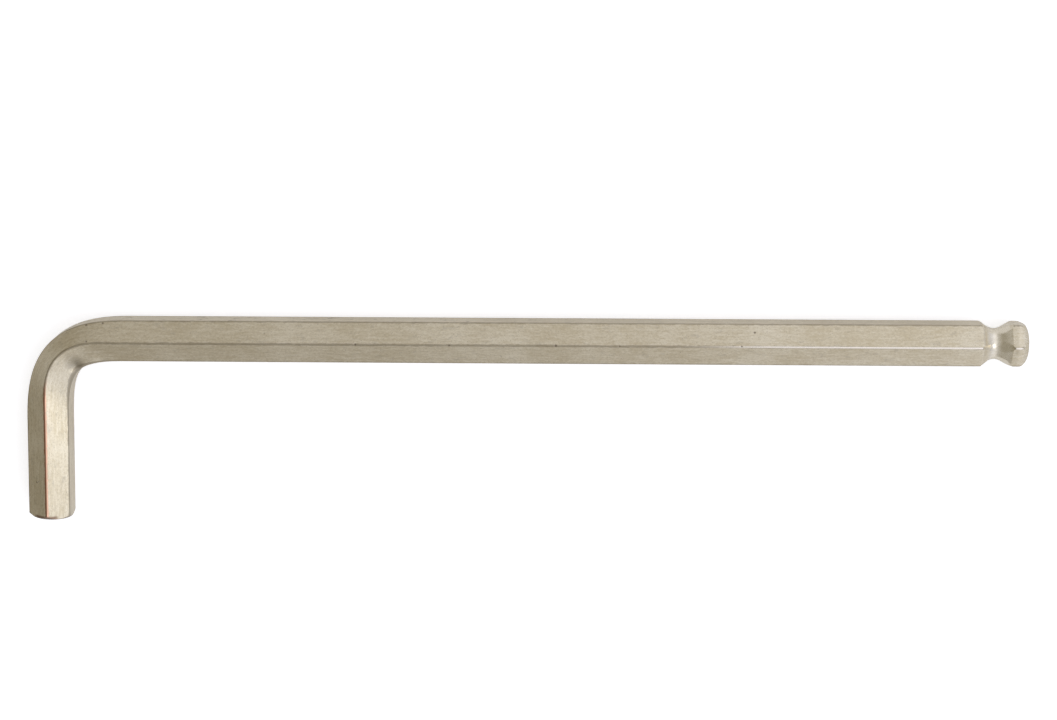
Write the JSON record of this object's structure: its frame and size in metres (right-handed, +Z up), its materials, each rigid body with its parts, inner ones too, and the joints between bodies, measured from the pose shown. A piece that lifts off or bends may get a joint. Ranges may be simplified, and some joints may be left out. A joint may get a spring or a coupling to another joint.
{
  "type": "hex key",
  "caption": "L-shaped hex key of hexagonal steel bar with a ball end on its long arm, satin nickel plated and worn along an edge of its short arm.",
  "frame": {"origin": "middle of the footprint, on the surface that the key lies on", "axes": "+X along the long arm towards its ball end, the short arm points to -Y, +Z up from the surface"},
  "size_m": [0.1921, 0.0395, 0.0092],
  "materials": {
    "nickel_plated_steel": "satin nickel plating"
  },
  "bodies": {
    "root": {"hex_key": "nickel_plated_steel"}
  },
  "joints": []
}
